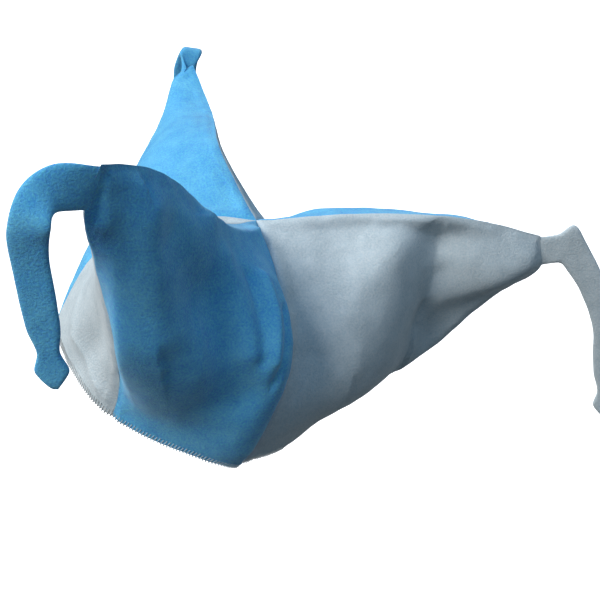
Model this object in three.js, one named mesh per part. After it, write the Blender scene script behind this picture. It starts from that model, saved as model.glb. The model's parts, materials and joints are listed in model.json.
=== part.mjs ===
// A jester hat of light blue and white fleece, as it sits tilted on a head: three hollow horns,
// each sewn from a blue and a white panel, with a flat strap tail hanging from the end of each horn.
// Millimetres and degrees, +Z up. The origin is the centre of the hem's opening.
// -X is the brow, +X the nape and -Y the wearer's left.

import * as THREE from 'three';
import { ParametricGeometry } from 'three/addons/geometries/ParametricGeometry.js';
import { mergeVertices } from 'three/addons/utils/BufferGeometryUtils.js';

const { degToRad, smoothstep, clamp } = THREE.MathUtils;

// Driving sizes
const FLEECE_THICKNESS = 2;
const SEAM_GAP = 0.5; // clear between two sewn edges
const WORN_TILT = 25.5; // how far the hat leans towards the nape
const HORN_SPACING = 120;
const BEND_START = 60; // a horn keeps the common shape up to this distance from the hat's axis
const HORN_REACH = 198; // from the hat's axis to a horn's end
const SEAM_FADE = 0.09; // folds die out over this share of a panel beside its seams
const STRAP_THICKNESS = 4; // two layers of fleece
const STRAP_CLEARANCE = 1; // between a strap's sewn end and the line of the horn's tip

// Mesh steps
const ACROSS_STEPS = 18;
const UP_STEPS = 16;
const STRAP_ACROSS_STEPS = 5;
const STRAP_ALONG_STEPS = 34;
const NORMAL_STEP = 0.002; // a share of a panel, for working out its normals
const MERGE_DISTANCE = 0.001;

// One horn half, as curves that run from the valley seam between two horns to the horn's own ridge seam,
// from the hem (at 0) to the top ridge (at 1). The last two rows are the ends of the horn's tip.
// "out" is the distance from the hat's axis and "up" the height above the hem. A flare swells the cloth:
// at the valley towards the outside, at the ridge so that the two halves meet in a round, not a fold.
const SLICES = [
  { at: 0.0, valleyOut: 93, valleyUp: -3, ridgeOut: 97, ridgeUp: 0, valleyFlare: 0.33, ridgeFlare: 1.0 },
  { at: 0.14, valleyOut: 94, valleyUp: 24, ridgeOut: 105, ridgeUp: 28, valleyFlare: 0.33, ridgeFlare: 0.9 },
  { at: 0.28, valleyOut: 92, valleyUp: 50, ridgeOut: 119, ridgeUp: 54, valleyFlare: 0.3, ridgeFlare: 0.75 },
  { at: 0.42, valleyOut: 85, valleyUp: 74, ridgeOut: 136, ridgeUp: 82, valleyFlare: 0.28, ridgeFlare: 0.6 },
  { at: 0.56, valleyOut: 70, valleyUp: 95, ridgeOut: 154, ridgeUp: 110, valleyFlare: 0.25, ridgeFlare: 0.45 },
  { at: 0.7, valleyOut: 49, valleyUp: 111, ridgeOut: 173, ridgeUp: 137, valleyFlare: 0.2, ridgeFlare: 0.35 },
  { at: 0.86, valleyOut: 25, valleyUp: 122, ridgeOut: 197, ridgeUp: 169, valleyFlare: 0.1, ridgeFlare: 0.25 },
  { at: 1.0, valleyOut: 0, valleyUp: 130, ridgeOut: 198, ridgeUp: 194, valleyFlare: 0, ridgeFlare: 0 },
];

// How each horn departs from the common shape. At its end, "longer" stretches it, "sway" moves it sideways,
// "lift" raises it, "taper" narrows it, "roll" turns it about its own length and "rake" slants its tip.
// "arch" bows the top ridge up half-way, "wave" dips it near the crown and raises it near the tip, and
// "belly" fills the low ridge out. "hemRise" is how far the hem rides up under the horn, and "shift" how far
// the low ridge lies off the horn's middle.
const HORNS = [
  {
    name: 'left', azimuth: 240, longer: 2, sway: -14, lift: -9.5, taper: -0.12,
    roll: 0, rake: 0, arch: -3, wave: 8, belly: -4, hemRise: 6, shift: 8,
  },
  {
    name: 'right', azimuth: 120, longer: 10, sway: -42, lift: -32, taper: 0.18,
    roll: 42, rake: 0, arch: -5, wave: 0, belly: 0, hemRise: 0, shift: 0,
  },
  {
    name: 'back', azimuth: 0, longer: -3, sway: 12, lift: 2, taper: 0.15,
    roll: 6, rake: -0.8, arch: 16, wave: 0, belly: 19, hemRise: 9, shift: 0,
  },
];
const TIP_LOW = 0.86; // where the low end of a horn's tip is, from hem to top ridge
const AXIS_RISE = 0.7; // how steeply a horn's own axis climbs from the middle of the crown
const AXIS_FOOT = 45; // the height of that axis above the hem, on the hat's axis
const BELLY_UP = 62; // where the low ridge fills out most, and how far that reaches
const BELLY_SPREAD = 45;
const HEM_SPREAD = 40; // how far up a rise of the hem reaches
const SHIFT_TO = 70; // a shift of the low ridge fades from this height to the crown's
const CROWN_UP = 122;
const BOW_FROM = 40; // the heights between which the bow of the top ridge grows to its full size
const BOW_TO = 150;

// Folds and dents of a panel, each along a line from one place to another. A place is the share across
// from valley to ridge and the share up from hem to top ridge. A depth below 0 goes inwards.
const FOLDS = [
  { panel: 'left_blue', fromAcross: 0.5, fromUp: 0.66, toAcross: 0.52, toUp: 0.34, width: 16, depth: -8 },
  { panel: 'left_blue', fromAcross: 0.2, fromUp: 0.72, toAcross: 0.2, toUp: 0.12, width: 26, depth: 12 },
  { panel: 'left_blue', fromAcross: 0.75, fromUp: 0.74, toAcross: 0.7, toUp: 0.3, width: 28, depth: 10 },
  { panel: 'left_white', fromAcross: 0.8, fromUp: 0.35, toAcross: 0.6, toUp: 0.08, width: 10, depth: -4 },
  { panel: 'left_white', fromAcross: 0.3, fromUp: 0.6, toAcross: 0.4, toUp: 0.2, width: 30, depth: 3 },
  { panel: 'left_white', fromAcross: 0.6, fromUp: 0.92, toAcross: 0.95, toUp: 0.93, width: 14, depth: 6 },
  { panel: 'right_blue', fromAcross: 0.6, fromUp: 0.75, toAcross: 0.85, toUp: 0.62, width: 26, depth: 4 },
  { panel: 'back_white', fromAcross: 0.62, fromUp: 0.86, toAcross: 0.82, toUp: 0.5, width: 22, depth: -9 },
  { panel: 'back_white', fromAcross: 0.42, fromUp: 0.8, toAcross: 0.4, toUp: 0.3, width: 20, depth: 5 },
  { panel: 'back_white', fromAcross: 0.82, fromUp: 0.81, toAcross: 0.97, toUp: 0.92, width: 16, depth: 6 },
  { panel: 'back_blue', fromAcross: 0.15, fromUp: 0.88, toAcross: 0.9, toUp: 0.92, width: 17, depth: 8.5 },
  { panel: 'back_blue', fromAcross: 0.7, fromUp: 0.93, toAcross: 1, toUp: 0.95, width: 13, depth: 5 },
];

// The straps. "heading" is where a strap leaves its horn. Its bend is a row for each section, measured
// from the horn's end: "out" along the heading, "rise" upwards and "aside" to the heading's left.
// A section's width points up when "lean" and "swing" are 0. A lean tips it outwards and a swing aside.
// Below its bend a strap hangs down by "drop" and moves outwards by "drift" on the way.
const STRAPS = [
  {
    horn: 'left',
    colour: 'blue',
    heading: 205,
    drop: 74,
    drift: -5,
    bend: [
      { out: 17, rise: 4, aside: 0, lean: -4, swing: -14, width: 25 },
      { out: 27, rise: 0, aside: 2, lean: 32, swing: -34, width: 23 },
      { out: 32, rise: -9, aside: 4, lean: 66, swing: -36, width: 23 },
      { out: 33.5, rise: -20, aside: 1, lean: 86, swing: -28, width: 22 },
      { out: 33, rise: -33, aside: -1, lean: 90, swing: -25, width: 20 },
    ],
  },
  {
    horn: 'right',
    colour: 'blue',
    heading: 92,
    drop: 80,
    drift: 0,
    bend: [
      { out: 8, rise: 6, aside: -4, lean: 8, swing: 44, width: 17 },
      { out: 14, rise: 12, aside: -9, lean: 28, swing: 70, width: 17 },
      { out: 25, rise: 10, aside: -8, lean: 60, swing: 86, width: 18 },
      { out: 31, rise: -3, aside: -3, lean: 90, swing: 88, width: 20 },
      { out: 32, rise: -22, aside: -1, lean: 90, swing: 88, width: 20 },
    ],
  },
  {
    horn: 'back',
    colour: 'white',
    heading: -10,
    drop: 78,
    drift: 9,
    bend: [
      { out: 10, rise: 4, aside: 0, lean: 0, swing: 0, width: 24 },
      { out: 16, rise: 8, aside: 0, lean: 11, swing: 0, width: 33 },
      { out: 24, rise: -3, aside: 0, lean: 30, swing: 0, width: 25 },
      { out: 36, rise: -22, aside: 0, lean: 55, swing: 0, width: 20 },
      { out: 50, rise: -55, aside: 0, lean: 80, swing: 0, width: 20 },
    ],
  },
];
// The hanging end of every strap: its width against the share of the drop
const STRAP_END = [
  { fall: 0.25, width: 20 },
  { fall: 0.5, width: 18.5 },
  { fall: 0.63, width: 13.5 },
  { fall: 0.69, width: 12.5 },
  { fall: 0.82, width: 19.5 },
  { fall: 0.86, width: 18 },
  { fall: 1, width: 1 },
];

const FLEECE_COLOURS = { blue: 0x4f9fd6, white: 0xdfe6ea };
const fleece = (colour) => new THREE.MeshStandardMaterial({
  color: FLEECE_COLOURS[colour],
  roughness: 0.95,
  metalness: 0,
});

// A column of a table as a smooth function of the table's "at" column
function column(table, name) {
  const places = table.map((row) => row.at);
  const values = table.map((row) => row[name]);
  const curve = new THREE.CubicInterpolant(places, values, 1);
  return (at) => curve.evaluate(at)[0];
}

const slice = Object.fromEntries(
  Object.keys(SLICES[0]).map((name) => [name, column(SLICES, name)]),
);

const HALF_WEDGE = degToRad(HORN_SPACING / 2);
const VALLEY_DIRECTION = new THREE.Vector3(Math.cos(HALF_WEDGE), Math.sin(HALF_WEDGE), 0);
const TO_RIDGE = new THREE.Vector3(0, -1, 0);
const ASIDE = new THREE.Vector3(0, 1, 0);

// The taut cloth of a horn half with +X along the horn, from valley (across 0) to ridge (across 1)
function tautCloth(across, up) {
  const valley = VALLEY_DIRECTION.clone().multiplyScalar(slice.valleyOut(up)).setZ(slice.valleyUp(up));
  const ridge = new THREE.Vector3(slice.ridgeOut(up), 0, slice.ridgeUp(up));
  const chord = ridge.clone().sub(valley);
  const third = chord.length() / 3;
  const level = chord.clone().setZ(0).normalize();
  const leave = level.clone().lerp(VALLEY_DIRECTION, slice.valleyFlare(up)).normalize();
  const arrive = level.clone().lerp(TO_RIDGE, slice.ridgeFlare(up)).normalize();
  const control1 = valley.clone().addScaledVector(leave, third).setZ(valley.z + chord.z / 3);
  const control2 = ridge.clone().addScaledVector(arrive, -third).setZ(ridge.z - chord.z / 3);
  return new THREE.CubicBezierCurve3(valley, control1, control2, ridge).getPoint(across);
}

// The outward normal of a surface given as a function of two shares
function normalOf(surface, across, up) {
  const before = Math.max(across - NORMAL_STEP, 0);
  const after = Math.min(across + NORMAL_STEP, 1);
  const below = Math.max(up - NORMAL_STEP, 0);
  const above = Math.min(up + NORMAL_STEP, 1);
  const alongAcross = surface(after, up).sub(surface(before, up));
  const alongUp = surface(across, above).sub(surface(across, below));
  return alongUp.cross(alongAcross).normalize();
}

// The outer face of one panel: the taut cloth moved in and out by that panel's folds
function panelFace(panel) {
  const folds = FOLDS.filter((fold) => fold.panel === panel).map((fold) => ({
    ...fold,
    line: new THREE.Line3(tautCloth(fold.fromAcross, fold.fromUp), tautCloth(fold.toAcross, fold.toUp)),
  }));
  return (across, up) => {
    const point = tautCloth(across, up);
    const seamFade = smoothstep(Math.min(across, 1 - across, 1 - up), 0, SEAM_FADE);
    const nearest = new THREE.Vector3();
    let depth = 0;
    for (const fold of folds) {
      fold.line.closestPointToPoint(point, true, nearest);
      depth += fold.depth * Math.exp(-point.distanceToSquared(nearest) / fold.width ** 2);
    }
    return point.addScaledVector(normalOf(tautCloth, across, up), depth * seamFade);
  };
}

// Keeps a point half a seam gap inside the wedge between the horn's middle plane and the valley plane
function keepInWedge(point) {
  point.y = Math.max(point.y, SEAM_GAP / 2);
  point.x = Math.max(point.x, (SEAM_GAP / 2 + point.y * Math.cos(HALF_WEDGE)) / Math.sin(HALF_WEDGE));
}

// Bends a horn half, mirrored to its side, into that horn's own pose
function poseHorn(horn, point) {
  const outward = smoothstep(point.x, BEND_START, HORN_REACH);
  const offMiddle = Math.min(Math.atan2(Math.abs(point.y), point.x) / HALF_WEDGE, 1);
  const inMiddle = 1 - offMiddle ** 4;
  const along = clamp(point.x / HORN_REACH, 0, 1);
  const high = smoothstep(point.z, BOW_FROM, BOW_TO);
  const low = Math.exp(-(((point.z - BELLY_UP) / BELLY_SPREAD) ** 2));
  const bow = horn.arch * Math.sin(Math.PI * along) - horn.wave * Math.sin(2 * Math.PI * along);
  const offCrown = 1 - smoothstep(point.z, SHIFT_TO, CROWN_UP);
  const hemRise = horn.hemRise * Math.exp(-((point.z / HEM_SPREAD) ** 2));
  const axisUp = AXIS_FOOT + AXIS_RISE * point.x;
  const turn = degToRad(horn.roll) * outward;
  const slim = 1 - horn.taper * outward;
  const aboveAxis = (point.z - axisUp) * slim;
  const sideways = point.y * slim;
  point.x += inMiddle * horn.belly * low + horn.longer * outward + horn.rake * aboveAxis * outward ** 2;
  point.y = sideways * Math.cos(turn) - aboveAxis * Math.sin(turn);
  point.y += horn.sway * outward + horn.shift * inMiddle * offCrown;
  point.z = axisUp + sideways * Math.sin(turn) + aboveAxis * Math.cos(turn);
  point.z += horn.lift * outward + inMiddle * (bow * high + hemRise);
  return point;
}

// Steps that crowd towards both ends, so that a wall's edges stay blunt
const crowd = (share) => (1 - Math.cos(Math.PI * share)) / 2;

// One panel as a closed wall: round it run the outer face, the ridge edge, the inner face, the valley edge
function panelGeometry(horn, colour, side) {
  const face = panelFace(`${horn.name}_${colour}`);
  const wall = (round, rise, target) => {
    const around = side > 0 ? 1 - round : round;
    const across = crowd(1 - Math.abs(1 - 2 * around));
    const up = crowd(rise);
    const onEdge = around === 0 || around === 0.5 || around === 1 || rise === 0 || rise === 1;
    const insideFace = around < 0.5 ? 0 : 1;
    const depth = onEdge ? 0.5 : insideFace;
    const normal = normalOf(onEdge ? tautCloth : face, across, up);
    target.copy(face(across, up));
    target.addScaledVector(normal, -depth * FLEECE_THICKNESS);
    keepInWedge(target);
    target.y *= side;
    poseHorn(horn, target);
  };
  return closed(new ParametricGeometry(wall, 2 * ACROSS_STEPS, UP_STEPS));
}

// The half-width of a strap's section as a vector: out, aside, up
function halfWidth(section) {
  const lean = degToRad(section.lean);
  const swing = degToRad(section.swing);
  const direction = new THREE.Vector3(0, 0, 1);
  direction.applyAxisAngle(ASIDE, lean).multiplyScalar(Math.cos(swing));
  direction.addScaledVector(ASIDE, Math.sin(swing));
  return direction.multiplyScalar(section.width / 2);
}

// A strap as a closed flat band with rounded edges, from its sewn end at the horn to its pointed end
function strapGeometry(strap, sewnCentre, sewnHalfWidth) {
  const last = strap.bend.at(-1);
  const hanging = STRAP_END.map((row) => ({
    ...last,
    out: last.out + row.fall * strap.drift,
    rise: last.rise - row.fall * strap.drop,
    width: row.width,
  }));
  const sections = [...strap.bend, ...hanging];
  const centres = sections.map((row) => new THREE.Vector3(row.out, row.aside, row.rise).add(sewnCentre));
  const centreline = new THREE.CatmullRomCurve3([sewnCentre, ...centres]);
  const halfWidths = new THREE.CatmullRomCurve3([sewnHalfWidth, ...sections.map(halfWidth)]);
  const band = (round, along, target) => {
    const across = 2 * crowd(1 - Math.abs(1 - 2 * round)) - 1;
    const onEdge = round === 0 || round === 0.5 || round === 1 || along === 0 || along === 1;
    const face = round < 0.5 ? 0.5 : -0.5;
    const sideways = halfWidths.getPoint(along);
    const normal = sideways.clone().cross(centreline.getTangent(along)).normalize();
    centreline.getPoint(along, target).addScaledVector(sideways, across);
    target.addScaledVector(normal, onEdge ? 0 : face * STRAP_THICKNESS);
  };
  return closed(new ParametricGeometry(band, 2 * STRAP_ACROSS_STEPS, STRAP_ALONG_STEPS));
}

// The same surface with its shared points merged and its normals worked out again
function closed(geometry) {
  geometry.deleteAttribute('normal');
  geometry.deleteAttribute('uv');
  const merged = mergeVertices(geometry, MERGE_DISTANCE);
  merged.computeVertexNormals();
  return merged;
}

const jesterHat = new THREE.Group();
const hat = new THREE.Group();
hat.rotation.y = degToRad(WORN_TILT);
jesterHat.add(hat);

for (const horn of HORNS) {
  const group = new THREE.Group();
  group.rotation.z = degToRad(horn.azimuth);
  hat.add(group);
  for (const [colour, side] of [['blue', 1], ['white', -1]]) {
    const panel = new THREE.Mesh(panelGeometry(horn, colour, side), fleece(colour));
    panel.name = `${horn.name}_horn_${colour}_panel`;
    group.add(panel);
  }

  const strap = STRAPS.find((row) => row.horn === horn.name);
  const tail = new THREE.Group();
  tail.rotation.z = degToRad(strap.heading);
  jesterHat.add(tail);
  jesterHat.updateMatrixWorld();
  const tipCorner = (up) => {
    const corner = new THREE.Vector3(slice.ridgeOut(up) + STRAP_CLEARANCE, 0, slice.ridgeUp(up));
    return tail.worldToLocal(group.localToWorld(poseHorn(horn, corner)));
  };
  const low = tipCorner(TIP_LOW);
  const high = tipCorner(1);
  const sewnCentre = low.clone().add(high).divideScalar(2);
  const sewnHalfWidth = high.sub(low).divideScalar(2);
  const strapMesh = new THREE.Mesh(strapGeometry(strap, sewnCentre, sewnHalfWidth), fleece(strap.colour));
  strapMesh.name = `${horn.name}_tail`;
  tail.add(strapMesh);
}

export default jesterHat;
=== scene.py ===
# The looks of a three-horned fleece jester hat: six sewn panels, three strap tails and an overlocked hem.
# Metres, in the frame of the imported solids: +Z up, the origin in the middle of the hem's opening.

import json
import math

import bmesh
import bpy
import numpy as np
from mathutils import Matrix, Vector, noise
from mathutils.bvhtree import BVHTree
from mathutils.kdtree import KDTree


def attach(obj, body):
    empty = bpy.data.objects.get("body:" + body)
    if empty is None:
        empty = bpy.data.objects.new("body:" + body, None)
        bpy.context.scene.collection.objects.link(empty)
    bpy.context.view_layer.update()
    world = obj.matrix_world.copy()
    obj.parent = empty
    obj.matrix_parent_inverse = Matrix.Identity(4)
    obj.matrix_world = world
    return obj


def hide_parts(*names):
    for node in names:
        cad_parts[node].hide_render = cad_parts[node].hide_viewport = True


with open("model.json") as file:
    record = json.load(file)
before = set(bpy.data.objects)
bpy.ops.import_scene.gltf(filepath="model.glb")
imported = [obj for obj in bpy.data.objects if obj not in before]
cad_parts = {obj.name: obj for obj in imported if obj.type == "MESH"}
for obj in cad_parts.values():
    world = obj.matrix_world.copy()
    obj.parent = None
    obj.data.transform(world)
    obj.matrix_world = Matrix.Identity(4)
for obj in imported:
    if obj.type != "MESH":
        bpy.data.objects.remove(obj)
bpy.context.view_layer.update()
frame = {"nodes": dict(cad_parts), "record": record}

# The hat's own frame, with its hem level: the mount points out of the hem
HAT_DOWN = Vector(frame["record"]["mounts"][0]["axis"])
TO_HAT = HAT_DOWN.rotation_difference(Vector((0, 0, -1))).to_matrix()
FROM_HAT = TO_HAT.transposed()

MM = 0.001
HORNS = ("left", "right", "back")
COLOURS = ("blue", "white")
TAIL_COLOURS = {"left": "blue", "right": "blue", "back": "white"}

# Camera: a view from the wearer's left, slightly above
IMAGE_SIZE = 600
FOCAL_PIXELS = 1073.3
SENSOR = 36.0
CAMERA_AIM = Vector((85.4, 0.0, 56.0)) * MM
CAMERA_DISTANCE = 743.5 * MM
CAMERA_AZIMUTH = math.radians(-3.65)
CAMERA_ELEVATION = math.radians(26.7)

# Finishes. Fleece varies from its nap brushed down to its nap brushed up, and thread from dark to light.
FLEECE = {
    "blue": dict(brushed_down=(0.1, 0.49, 0.92), brushed_up=(0.17, 0.63, 0.99), sheen_tint=(0.9, 0.96, 1.0)),
    "white": dict(brushed_down=(0.61, 0.7, 0.75), brushed_up=(0.73, 0.82, 0.87), sheen_tint=(1.0, 1.0, 1.0)),
}
THREAD = {
    "blue": dict(dark=(0.5, 0.7, 0.82), light=(0.7, 0.85, 0.92)),
    "white": dict(dark=(0.7, 0.72, 0.72), light=(0.85, 0.86, 0.86)),
}
NAP = dict(scale=65, detail=4, roughness=0.6)
CLUMPS = dict(scale=330, detail=2, roughness=0.5)
PILE = dict(scale=750, detail=3, roughness=0.65)
FUZZ = dict(scale=1500, detail=2, roughness=0.5)
NOISE_RANGE = dict(low=0.3, high=0.7)  # where most of a noise's values lie
SPECKLE = 0.3  # how strongly the pile shows in the colour
PLAIN_WHITE = (1, 1, 1, 1)

# Sewing
MERGE_DISTANCE = 0.01 * MM
RIM_ANGLE = math.radians(60)  # a wall turns by more than this at its edges
SEAM_REACH = 2.6 * MM  # edges of two panels that lie nearer than this are sewn together
SEWING_PASSES = 3
CREASED = 0.5  # an edge with a crease above this lies on a seam
CROWN_REACH = 10 * MM  # how far from its corner a panel moves to close the crown
SMOOTHING_LEVELS = 3
TAIL_LEVELS = 2

# Folds of the panels that the camera sees. A fold runs through places in the image, given in pixels.
# "left" and "right" are its half-widths on either hand along the run, and "depth" is how far it goes, all in
# millimetres; a depth below 0 is inwards. A sharp fold is a crease, the others are round.
FOLDS = {
    "left_blue": (
        dict(through=((160, 325), (156, 270), (150, 215)), left=30, right=14, depth=7),
        dict(through=((240, 390), (222, 345), (202, 300), (180, 240)), left=16, right=15, depth=-7),
        dict(through=((242, 350), (232, 300), (224, 258)), left=10, right=9, depth=4),
        dict(through=((256, 360), (254, 315), (247, 275)), left=5, right=4, depth=-2.8),
        dict(through=((266, 360), (269, 315), (261, 275)), left=5, right=4, depth=3),
        dict(through=((266, 384), (278, 344), (279, 308)), left=3, right=4, depth=-2.5),
        dict(through=((100, 225), (106, 185)), left=4, right=8, depth=2),
        dict(through=((93, 212), (97, 190), (100, 174)), left=3, right=6, depth=-1.5, sharp=True),
        dict(through=((130, 352), (190, 366), (262, 352)), left=46, right=42, depth=11),
        dict(through=((205, 218), (228, 226), (250, 231)), left=9, right=15, depth=6),
    ),
    "left_white": (
        dict(through=((100, 386), (90, 360), (76, 336)), left=12, right=9, depth=3.5, sharp=True),
        dict(through=((75, 322), (84, 285)), left=4, right=5, depth=1.2),
        dict(through=((226, 217), (242, 219)), left=14, right=14, depth=-8),
    ),
    "right_blue": (
        dict(through=((215, 185), (195, 120)), left=9, right=9, depth=1.5),
    ),
    "back_white": (
        dict(through=((424, 332), (438, 290), (446, 238)), left=40, right=16, depth=-11, sharp=True),
        dict(through=((356, 368), (354, 292), (418, 236)), left=26, right=10, depth=2.5),
        dict(through=((312, 350), (318, 300), (345, 262)), left=30, right=26, depth=-7),
        dict(through=((448, 296), (485, 284), (525, 262)), left=16, right=12, depth=5),
    ),
}
FOLD_FADE = 0.9  # how far beside a seam a fold fades out, for each millimetre of its depth

# Small unevenness of the cloth, in millimetres. A reach is how far from a seam it grows or dies away.
NOISE_SEED = 3
SAG = dict(length=55, height=1.4)
SAG_REACH = 25
LUMPS = dict(length=9, height=0.22)
PUCKERS = dict(length=8, height=0.7)
PUCKER_REACH = 13
WOBBLE = dict(length=13, height=0.4)
WOBBLE_REACH = 6
SEAM_ROLL = dict(from_seam=5.0, width=3.5, height=0.5)

# How a strap's sewn end is tucked into the horn, in millimetres
TUCK = dict(end=3, reach=14, depth=6, thinner=0.8)

# Overlock stitches along the hem
STITCH_PITCH = 2.1 * MM
STITCH_HEIGHT = 4.6 * MM
STITCH_SLANT = 0.7 * MM
STITCH_UNEVEN = dict(share=0.15, scale=40)
THREAD_RADIUS = 0.36 * MM
THREAD_LIFT = 0.6  # how far a thread's middle lies off the cloth, in its own radii
HEM_RADIUS = 95 * MM
HEM_STEP = math.radians(1)
HEM_ZONE = 6 * MM
HEM_EDGE = 0.7 * MM
OUTSIDE_START = 2 * HEM_RADIUS
INSIDE_START = HEM_RADIUS / 2
RAY_LENGTH = 1.5 * HEM_RADIUS

# Stage
FLOOR_HEIGHT = -260 * MM
FLOOR_SIZE = 8.0
LAMPS = (
    dict(name="front_lamp", where=(-0.62, -0.43, 0.66), strength=1.65),
    dict(name="back_lamp", where=(-0.66, 0.33, 0.67), strength=1.25),
)
LAMP_SPREAD = math.radians(30)
LAMP_COLOUR = (1.0, 0.97, 0.92)
ROOM_ABOVE = (0.32, 0.46, 0.6)
ROOM_BELOW = (0.04, 0.05, 0.055)


# Pieces

def new_piece(name, mesh):
    """An object at the origin that shows the mesh."""
    piece = bpy.data.objects.new(name, mesh)
    bpy.context.scene.collection.objects.link(piece)
    return piece


def piece_of(name, bm):
    """A new piece with the shape of a bmesh, which is used up."""
    mesh = bpy.data.meshes.new(name)
    bm.to_mesh(mesh)
    bm.free()
    return new_piece(name, mesh)


def cover(piece, material):
    """Gives the piece this material alone."""
    piece.data.materials.clear()
    piece.data.materials.append(material)


def as_built(piece):
    """The piece's mesh with its modifiers applied."""
    bpy.context.view_layer.update()
    mesh = bpy.data.meshes.new_from_object(piece.evaluated_get(bpy.context.evaluated_depsgraph_get()))
    old = piece.data
    piece.modifiers.clear()
    piece.data = mesh
    bpy.data.meshes.remove(old)


def smoothed(piece, levels):
    """Subdivides the piece into a smooth surface."""
    rounder = piece.modifiers.new("smooth", "SUBSURF")
    rounder.levels = levels
    rounder.render_levels = levels
    rounder.boundary_smooth = "PRESERVE_CORNERS"
    as_built(piece)


def merged_copy(node):
    """A bmesh of a CAD node with its loose triangles merged and joined into quads."""
    bm = bmesh.new()
    bm.from_mesh(frame["nodes"][node].data)
    bmesh.ops.remove_doubles(bm, verts=bm.verts, dist=MERGE_DISTANCE)
    bmesh.ops.join_triangles(
        bm,
        faces=bm.faces,
        angle_face_threshold=math.pi,
        angle_shape_threshold=math.pi,
        topology_influence=1.0,
    )
    bm.normal_update()
    return bm


# Points

def points_of(piece):
    """The piece's points and their normals as arrays."""
    count = len(piece.data.vertices)
    points = np.empty(count * 3)
    normals = np.empty(count * 3)
    piece.data.vertices.foreach_get("co", points)
    piece.data.vertices.foreach_get("normal", normals)
    return points.reshape(-1, 3), normals.reshape(-1, 3)


def set_points(piece, points):
    piece.data.vertices.foreach_set("co", points.ravel())
    piece.data.update()


def in_hat_frame(points):
    return points @ np.array(TO_HAT).T


def tree_of(points):
    """The points, ready for finding the nearest."""
    tree = KDTree(len(points))
    for index, point in enumerate(points):
        tree.insert(point, index)
    tree.balance()
    return tree


def surface_of(piece):
    """The piece's faces, ready for rays."""
    points, _ = points_of(piece)
    return BVHTree.FromPolygons(points.tolist(), [face.vertices[:] for face in piece.data.polygons])


def nearest_on_path(points, path):
    """How far each point is from a path of straight stretches, below 0 on its right, and the normal there."""
    best = np.full(len(points), np.inf)
    directions = np.zeros_like(points)
    for (start, start_normal), (end, end_normal) in zip(path[:-1], path[1:]):
        start, stretch = np.array(start), np.array(end - start)
        along = np.clip((points - start) @ stretch / (stretch @ stretch), 0, 1)[:, None]
        offset = points - start - along * stretch
        normal = (1 - along) * np.array(start_normal) + along * np.array(end_normal)
        to_left = np.sum(offset * np.cross(normal, stretch), axis=1)
        away = np.linalg.norm(offset, axis=1)
        nearer = away < np.abs(best)
        best[nearer] = np.copysign(away, to_left)[nearer]
        directions[nearer] = normal[nearer]
    return best, directions


def swayed(points, length, height):
    """Smooth unevenness: how far each point moves in a noise of that wavelength and height."""
    return height * np.array([noise.noise_vector(Vector(point) / (length * MM)) for point in points])


def smooth_step(values, low, high):
    share = np.clip((values - low) / (high - low), 0, 1)
    return share * share * (3 - 2 * share)


# Camera

def camera_axes():
    """The camera's right, up and backward directions."""
    level = math.cos(CAMERA_ELEVATION)
    back = Vector((
        math.sin(CAMERA_AZIMUTH) * level,
        -math.cos(CAMERA_AZIMUTH) * level,
        math.sin(CAMERA_ELEVATION),
    ))
    right = Vector((math.cos(CAMERA_AZIMUTH), math.sin(CAMERA_AZIMUTH), 0))
    return right, back.cross(right), back


def make_camera():
    right, up, back = camera_axes()
    lens = bpy.data.cameras.new("camera")
    lens.sensor_width = SENSOR
    lens.lens = FOCAL_PIXELS / IMAGE_SIZE * SENSOR
    camera = bpy.data.objects.new("camera", lens)
    turn = Matrix((right, up, back)).transposed().to_4x4()
    camera.matrix_world = Matrix.Translation(CAMERA_AIM + CAMERA_DISTANCE * back) @ turn
    bpy.context.scene.collection.objects.link(camera)
    bpy.context.scene.camera = camera


def seen_at(surface, pixel):
    """The place on a surface that the camera sees at a pixel of the image, and the normal there."""
    right, up, back = camera_axes()
    across = (pixel[0] - IMAGE_SIZE / 2) / FOCAL_PIXELS
    rise = (IMAGE_SIZE / 2 - pixel[1]) / FOCAL_PIXELS
    direction = right * across + up * rise - back
    place, normal = surface.ray_cast(CAMERA_AIM + CAMERA_DISTANCE * back, direction.normalized())[:2]
    if place is None:
        raise ValueError(f"no cloth at pixel {pixel}")
    return place, normal


# Materials

def new_material(name):
    material = bpy.data.materials.new(name)
    material.use_nodes = True
    return material, material.node_tree, material.node_tree.nodes["Principled BSDF"]


def feed(tree, socket, value):
    """Links another node's output to a socket, or sets the socket to a plain value."""
    if isinstance(value, bpy.types.NodeSocket):
        tree.links.new(value, socket)
    else:
        socket.default_value = value


def noise_node(tree, place, scale, detail, roughness):
    node = tree.nodes.new("ShaderNodeTexNoise")
    node.inputs["Scale"].default_value = scale
    node.inputs["Detail"].default_value = detail
    node.inputs["Roughness"].default_value = roughness
    tree.links.new(place, node.inputs["Vector"])
    return node.outputs["Fac"]


def blended(tree, share, low, high, blend_type="MIX"):
    """A colour between two, by a share from 0 to 1. Each may be a plain value or another node's output."""
    node = tree.nodes.new("ShaderNodeMix")
    node.data_type = "RGBA"
    node.blend_type = blend_type
    feed(tree, node.inputs["Factor"], share)
    feed(tree, node.inputs["A"], low)
    feed(tree, node.inputs["B"], high)
    return node.outputs["Result"]


def spread_out(tree, value, low, high):
    """A value stretched so that low becomes 0 and high becomes 1."""
    node = tree.nodes.new("ShaderNodeMapRange")
    node.inputs["From Min"].default_value = low
    node.inputs["From Max"].default_value = high
    tree.links.new(value, node.inputs["Value"])
    return node.outputs["Result"]


def bumped(tree, height, distance, strength, under=None):
    """A bump by that height, on top of another bump where one is given."""
    node = tree.nodes.new("ShaderNodeBump")
    node.inputs["Distance"].default_value = distance
    node.inputs["Strength"].default_value = strength
    tree.links.new(height, node.inputs["Height"])
    if under:
        tree.links.new(under, node.inputs["Normal"])
    return node.outputs["Normal"]


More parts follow.
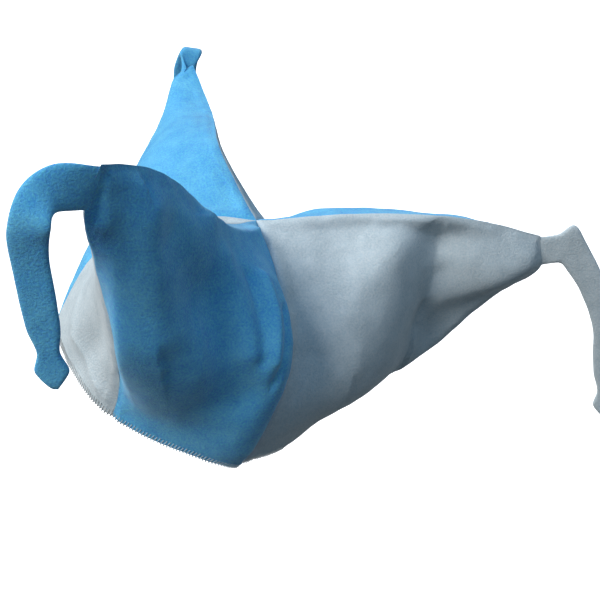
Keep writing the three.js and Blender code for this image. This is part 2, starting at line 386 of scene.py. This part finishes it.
def fleece(name, brushed_down, brushed_up, sheen_tint):
    """Short-pile fleece: the nap lies in patches, and each patch is a little lighter or darker."""
    material, tree, shader = new_material(name)
    place = tree.nodes.new("ShaderNodeTexCoord").outputs["Object"]
    nap = spread_out(tree, noise_node(tree, place, **NAP), **NOISE_RANGE)
    pile = spread_out(tree, noise_node(tree, place, **PILE), **NOISE_RANGE)
    clumps = noise_node(tree, place, **CLUMPS)
    patched = blended(tree, nap, (*brushed_down, 1), (*brushed_up, 1))
    speckled = blended(tree, SPECKLE, patched, pile, "OVERLAY")
    tree.links.new(speckled, shader.inputs["Base Color"])
    soft = bumped(tree, clumps, distance=1.2 * MM, strength=0.15)
    rough = bumped(tree, pile, distance=0.9 * MM, strength=0.35, under=soft)
    tree.links.new(rough, shader.inputs["Normal"])
    shader.inputs["Roughness"].default_value = 1.0
    shader.inputs["Specular IOR Level"].default_value = 0.15
    shader.inputs["Sheen Weight"].default_value = 0.3
    shader.inputs["Sheen Roughness"].default_value = 0.5
    shader.inputs["Sheen Tint"].default_value = (*sheen_tint, 1)
    return material


def thread(name, dark, light):
    """Twisted sewing thread."""
    material, tree, shader = new_material(name)
    place = tree.nodes.new("ShaderNodeTexCoord").outputs["Object"]
    fuzz = noise_node(tree, place, **FUZZ)
    tree.links.new(blended(tree, fuzz, (*dark, 1), (*light, 1)), shader.inputs["Base Color"])
    tree.links.new(bumped(tree, fuzz, distance=0.2 * MM, strength=0.4), shader.inputs["Normal"])
    shader.inputs["Roughness"].default_value = 0.7
    return material


def white_backdrop():
    """A floor that shows as plain white."""
    material, _, shader = new_material("white_backdrop")
    shader.inputs["Emission Color"].default_value = PLAIN_WHITE
    shader.inputs["Emission Strength"].default_value = 1.0
    shader.inputs["Roughness"].default_value = 0.9
    return material


# Panels

def edge_angles(mesh):
    """The angle between the two faces at each edge."""
    bm = bmesh.new()
    bm.from_mesh(mesh)
    angles = [edge.calc_face_angle(0) for edge in bm.edges]
    bm.free()
    return angles


def rim_of(mesh):
    """The points on the wall's edge, where its outer and inner sides meet."""
    angles = edge_angles(mesh)
    return sorted({end for edge in mesh.edges if angles[edge.index] > RIM_ANGLE for end in edge.vertices})


def mates(points):
    """For each panel, the nearest point of another panel to each of its points that has one in reach."""
    found = {}
    for name in points:
        tree = tree_of(np.concatenate([points[other] for other in points if other != name]))
        found[name] = {}
        for index, point in enumerate(points[name]):
            mate, _, gap = tree.find(point)
            if gap < SEAM_REACH:
                found[name][index] = np.array(mate)
    return found


def bring_together(panels, edges):
    """Moves neighbouring edges half-way to each other. Returns the points of each panel that moved."""
    points = {name: points_of(panel)[0] for name, panel in panels.items()}
    joined = {}
    for name, found in mates({name: points[name][edges[name]] for name in panels}).items():
        joined[name] = {edges[name][place]: mate for place, mate in found.items()}
    for name, found in joined.items():
        for index, mate in found.items():
            points[name][index] = (points[name][index] + mate) / 2
        set_points(panels[name], points[name])
    return joined


def close_crown(panels, seams):
    """Brings the corners of all the panels together on the hat's axis."""
    corners = {}
    for name, panel in panels.items():
        seam = points_of(panel)[0][seams[name]]
        off_axis = np.linalg.norm(in_hat_frame(seam)[:, :2], axis=1)
        corners[name] = seam[np.argmin(off_axis)]
    crown = np.mean(list(corners.values()), axis=0)
    for name, panel in panels.items():
        points, _ = points_of(panel)
        near = 1 - smooth_step(np.linalg.norm(points - corners[name], axis=1), 0, CROWN_REACH)
        set_points(panel, points + near[:, None] * (crown - corners[name]))


def sew(panels):
    """Smooths the panels and closes the seams between them. Returns the points on each panel's seams."""
    rims = {name: rim_of(panel.data) for name, panel in panels.items()}
    for name, sewn in bring_together(panels, rims).items():
        mesh = panels[name].data
        crease = mesh.attributes.new("crease_edge", "FLOAT", "EDGE")
        for edge in mesh.edges:
            crease.data[edge.index].value = float(all(end in sewn for end in edge.vertices))
    seams = {}
    for name, panel in panels.items():
        smoothed(panel, SMOOTHING_LEVELS)
        crease = panel.data.attributes["crease_edge"].data
        creased = [edge for edge in panel.data.edges if crease[edge.index].value > CREASED]
        seams[name] = sorted({end for edge in creased for end in edge.vertices})
    close_crown(panels, seams)
    for _ in range(SEWING_PASSES):
        bring_together(panels, seams)
    return seams


def shape_cloth(panel, seam, folds):
    """Moves the points of a smooth panel into its folds, seam rolls and small unevenness."""
    points, normals = points_of(panel)
    tree = tree_of(points[seam])
    from_seam = np.array([tree.find(point)[2] for point in points]) / MM
    off_seam = smooth_step(from_seam, 0, SEAM_ROLL["from_seam"])[:, None]
    move = swayed(points, **SAG) * smooth_step(from_seam, 0, SAG_REACH)[:, None]
    move += swayed(points, **LUMPS) * off_seam
    move += swayed(points, **PUCKERS) * off_seam * np.exp(-from_seam / PUCKER_REACH)[:, None]
    move += swayed(points, **WOBBLE) * np.exp(-((from_seam / WOBBLE_REACH) ** 2))[:, None]
    roll = np.exp(-(((from_seam - SEAM_ROLL["from_seam"]) / SEAM_ROLL["width"]) ** 2))
    move += normals * (SEAM_ROLL["height"] * roll)[:, None]
    surface = surface_of(panel)
    for fold in folds:
        path = [seen_at(surface, pixel) for pixel in fold["through"]]
        away, direction = nearest_on_path(points, path)
        share = np.abs(away) / (np.where(away > 0, fold["left"], fold["right"]) * MM)
        shape = np.exp(-share) if fold.get("sharp") else np.exp(-(share ** 2))
        fade = smooth_step(from_seam, 0, SEAM_ROLL["from_seam"] + FOLD_FADE * abs(fold["depth"]))
        move += direction * (fold["depth"] * shape * fade)[:, None]
    set_points(panel, points + move * MM)


# Tails

def tail_piece(horn, panels):
    """A strap, with its sewn end pushed between the two panels of the horn's tip."""
    piece = piece_of(f"{horn}_strap", merged_copy(f"{horn}_tail"))
    piece.data.shade_smooth()
    smoothed(piece, TAIL_LEVELS)
    points, normals = points_of(piece)
    tip = tree_of(np.concatenate([points_of(panels[f"{horn}_{colour}"])[0] for colour in COLOURS]))
    gap = np.array([tip.find(point)[2] for point in points])
    end = points[gap < gap.min() + TUCK["end"] * MM]
    beyond = points[np.linalg.norm(points - end.mean(axis=0), axis=1) < TUCK["reach"] * MM]
    inwards = end.mean(axis=0) - beyond.mean(axis=0)
    share = 1 - smooth_step(gap, gap.min(), TUCK["reach"] * MM)[:, None]
    points += share * (inwards / np.linalg.norm(inwards) * TUCK["depth"] - normals * TUCK["thinner"]) * MM
    set_points(piece, points + swayed(points, **LUMPS) * MM)
    return piece


# Hem

def hem_heights(panels):
    """The height of the cloth's lower edge at each step round the head, in the hat's own frame."""
    points = in_hat_frame(np.concatenate([points_of(panel)[0] for panel in panels]))
    low = points[points[:, 2] < HEM_ZONE]
    steps = np.round(np.arctan2(low[:, 1], low[:, 0]) / HEM_STEP).astype(int)
    return {step: low[steps == step][:, 2].min() for step in np.unique(steps)}


def wall_place(walls, angle, height, outside):
    """A place just off the outer or inner side of the hem's wall, or None where there is no wall."""
    out = Vector((math.cos(angle), math.sin(angle), 0))
    start = out * (OUTSIDE_START if outside else INSIDE_START) + Vector((0, 0, height))
    way = -out if outside else out
    hits = [wall.ray_cast(FROM_HAT @ start, FROM_HAT @ way, RAY_LENGTH) for wall in walls]
    hits = [hit for hit in hits if hit[0] is not None]
    if not hits:
        return None
    place, normal, _, _ = min(hits, key=lambda hit: hit[3])
    return place + normal * THREAD_RADIUS * THREAD_LIFT


def stitch_route(walls, angle, hem):
    """One stitch, from the cloth's outside round its edge to the inside, or None where there is no cloth."""
    out = Vector((math.cos(angle), math.sin(angle), 0))
    tall = STITCH_HEIGHT * (1 + STITCH_UNEVEN["share"] * noise.noise(out * STITCH_UNEVEN["scale"]))
    slanted = angle + STITCH_SLANT / HEM_RADIUS
    outer_top = wall_place(walls, slanted, hem + tall, True)
    outer_low = wall_place(walls, angle, hem + HEM_EDGE, True)
    inner_low = wall_place(walls, angle, hem + HEM_EDGE, False)
    inner_top = wall_place(walls, slanted, hem + tall, False)
    if None in (outer_top, outer_low, inner_low, inner_top):
        return None
    outer_middle = (outer_top + outer_low) / 2
    under = FROM_HAT @ Vector((0, 0, -HEM_EDGE - THREAD_RADIUS))
    return outer_top, outer_middle, outer_low, outer_low + under, inner_low + under, inner_low, inner_top


def overlock(name, panels):
    """Stitches that wrap round the hem's edge, side by side."""
    heights = hem_heights(panels)
    walls = [surface_of(panel) for panel in panels]
    curve = bpy.data.curves.new(name, "CURVE")
    curve.dimensions = "3D"
    curve.bevel_depth = THREAD_RADIUS
    curve.bevel_resolution = 0
    count = int(math.tau * HEM_RADIUS / STITCH_PITCH)
    for stitch in range(count):
        angle = math.remainder(math.tau * stitch / count, math.tau)
        step = round(angle / HEM_STEP)
        route = stitch_route(walls, angle, heights[step]) if step in heights else None
        if route is None:
            continue
        spline = curve.splines.new("POLY")
        spline.points.add(len(route) - 1)
        for point, target in zip(spline.points, route):
            point.co = (*target, 1)
    holder = bpy.data.objects.new(name, curve)
    mesh = bpy.data.meshes.new_from_object(holder)
    bpy.data.objects.remove(holder)
    bpy.data.curves.remove(curve)
    return new_piece(name, mesh)


# Stage

def make_floor():
    bm = bmesh.new()
    bmesh.ops.create_grid(bm, x_segments=2, y_segments=2, size=FLOOR_SIZE / 2)
    bmesh.ops.translate(bm, verts=bm.verts, vec=(0, 0, FLOOR_HEIGHT))
    floor = piece_of("floor", bm)
    cover(floor, white_backdrop())
    floor.visible_diffuse = False


def make_lamps():
    """Soft lamps on the brow's side."""
    for row in LAMPS:
        light = bpy.data.lights.new(row["name"], "SUN")
        light.energy = row["strength"]
        light.angle = LAMP_SPREAD
        light.color = LAMP_COLOUR
        lamp = bpy.data.objects.new(row["name"], light)
        lamp.rotation_euler = (-Vector(row["where"])).to_track_quat("-Z", "Y").to_euler()
        bpy.context.scene.collection.objects.link(lamp)


def make_room():
    """A room that is bright above, dark below and plain white to look at."""
    world = bpy.data.worlds.new("room")
    world.use_nodes = True
    tree = world.node_tree
    height = tree.nodes.new("ShaderNodeSeparateXYZ")
    tree.links.new(tree.nodes.new("ShaderNodeTexCoord").outputs["Generated"], height.inputs["Vector"])
    up = spread_out(tree, height.outputs["Z"], 0, 1)
    room = blended(tree, up, (*ROOM_BELOW, 1), (*ROOM_ABOVE, 1))
    looked_at = tree.nodes.new("ShaderNodeLightPath").outputs["Is Camera Ray"]
    tree.links.new(blended(tree, looked_at, room, PLAIN_WHITE), tree.nodes["Background"].inputs["Color"])
    bpy.context.scene.world = world
    bpy.context.scene.view_settings.view_transform = "Standard"


# Assembly

noise.seed_set(NOISE_SEED)
make_camera()
fleeces = {colour: fleece(f"{colour}_fleece_look", **FLEECE[colour]) for colour in COLOURS}
threads = {colour: thread(f"{colour}_thread_look", **THREAD[colour]) for colour in COLOURS}

panels = {}
for horn in HORNS:
    for colour in COLOURS:
        wall = merged_copy(f"{horn}_horn_{colour}_panel")
        panels[f"{horn}_{colour}"] = piece_of(f"{horn}_horn_{colour}_cloth", wall)
for name, seam in sew(panels).items():
    shape_cloth(panels[name], seam, FOLDS.get(name, ()))

for horn in HORNS:
    for colour in COLOURS:
        panel = panels[f"{horn}_{colour}"]
        cover(panel, fleeces[colour])
        panel.data.shade_smooth()
        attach(panel, "root")
        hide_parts(f"{horn}_horn_{colour}_panel")
    colour = TAIL_COLOURS[horn]
    strap = tail_piece(horn, panels)
    cover(strap, fleeces[colour])
    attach(strap, "root")
    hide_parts(f"{horn}_tail")

for colour in COLOURS:
    stitches = overlock(f"{colour}_hem_stitches", [panels[f"{horn}_{colour}"] for horn in HORNS])
    cover(stitches, threads[colour])
    stitches.data.shade_smooth()
    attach(stitches, "root")

make_floor()
make_lamps()
make_room()
